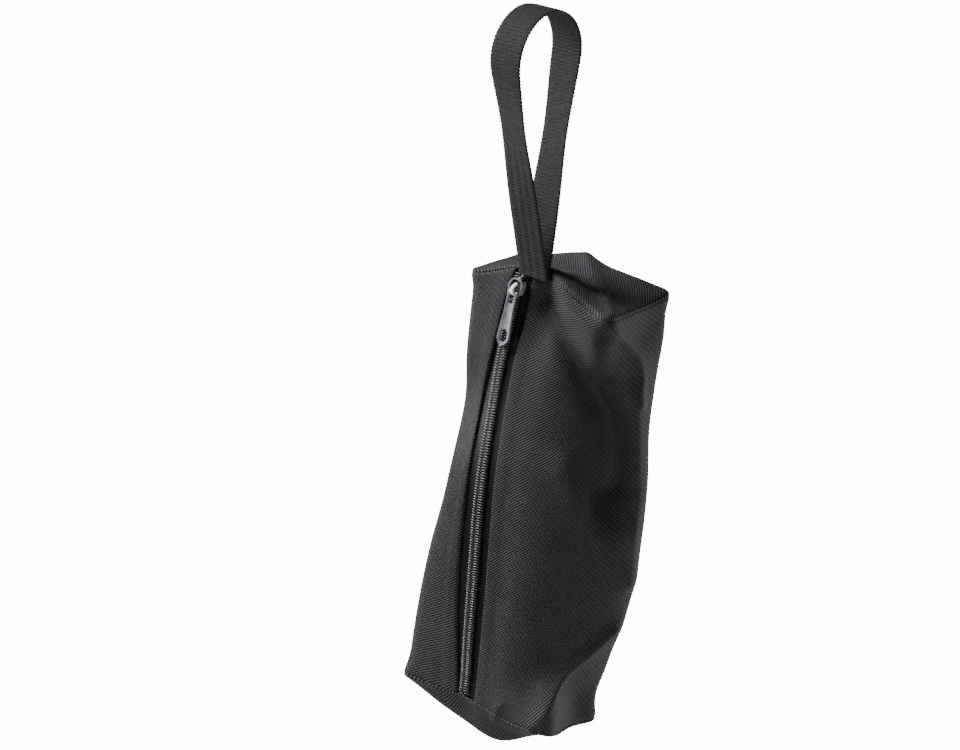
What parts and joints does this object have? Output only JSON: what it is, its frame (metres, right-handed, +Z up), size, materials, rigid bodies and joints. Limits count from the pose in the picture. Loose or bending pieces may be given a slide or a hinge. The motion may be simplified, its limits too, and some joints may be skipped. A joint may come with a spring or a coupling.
{
  "type": "shoe bag",
  "caption": "Box-shaped zipped fabric pouch for shoes or travel items, hanging from a webbing hand loop.",
  "frame": {"origin": "inside of the hand loop's top, where a finger or a hook holds it", "axes": "+Z up as the bag hangs, +X across the zip face to the right of someone facing the zip, -Y out of the zip face"},
  "size_m": [0.0994, 0.0903, 0.4056],
  "materials": {
    "cloth": "coated polyester twill, semi-matte",
    "webbing": "ribbed polypropylene webbing",
    "zip_tape": "plain woven polyester tape",
    "zip_coil": "nylon monofilament coil",
    "slider_paint": "baked black enamel on die-cast zinc",
    "thread": "spun polyester sewing thread",
    "binding": "folded grosgrain tape"
  },
  "bodies": {
    "handle": {"handle_webbing": "webbing"},
    "bag": {"body_cloth": "cloth", "top_end_panel": "cloth", "bottom_end_panel": "cloth", "top_seam_binding": "binding", "bottom_seam_binding": "binding", "top_seam_stitching": "thread", "bottom_seam_stitching": "thread", "left_zip_tape": "zip_tape", "right_zip_tape": "zip_tape", "left_zip_coil": "zip_coil", "right_zip_coil": "zip_coil", "left_coil_cord": "thread", "right_coil_cord": "thread", "left_coil_stitching": "thread", "right_coil_stitching": "thread", "left_hem_stitching": "thread", "right_hem_stitching": "thread", "handle_sewn_ends": "webbing", "handle_tack_stitching": "thread"},
    "slider": {"slider_body": "slider_paint"},
    "puller": {"zip_puller": "slider_paint"}
  },
  "joints": [
    {"name": "handle_fold", "type": "hinge", "parent": "handle", "child": "bag", "pos_m": [0, 0, -0.143], "axis": [1, 0, 0], "range_deg": [-60, 78]},
    {"name": "zip_slide", "type": "slide", "parent": "bag", "child": "slider", "axis": [-0.0172, -0.1633, -0.9864], "range_m": [0, 0.236]},
    {"name": "puller_flip", "type": "hinge", "parent": "slider", "child": "puller", "pos_m": [-0.01068, -0.00562, -0.15319], "axis": [-0.9998, 0, 0.0174], "range_deg": [0, 115]}
  ]
}
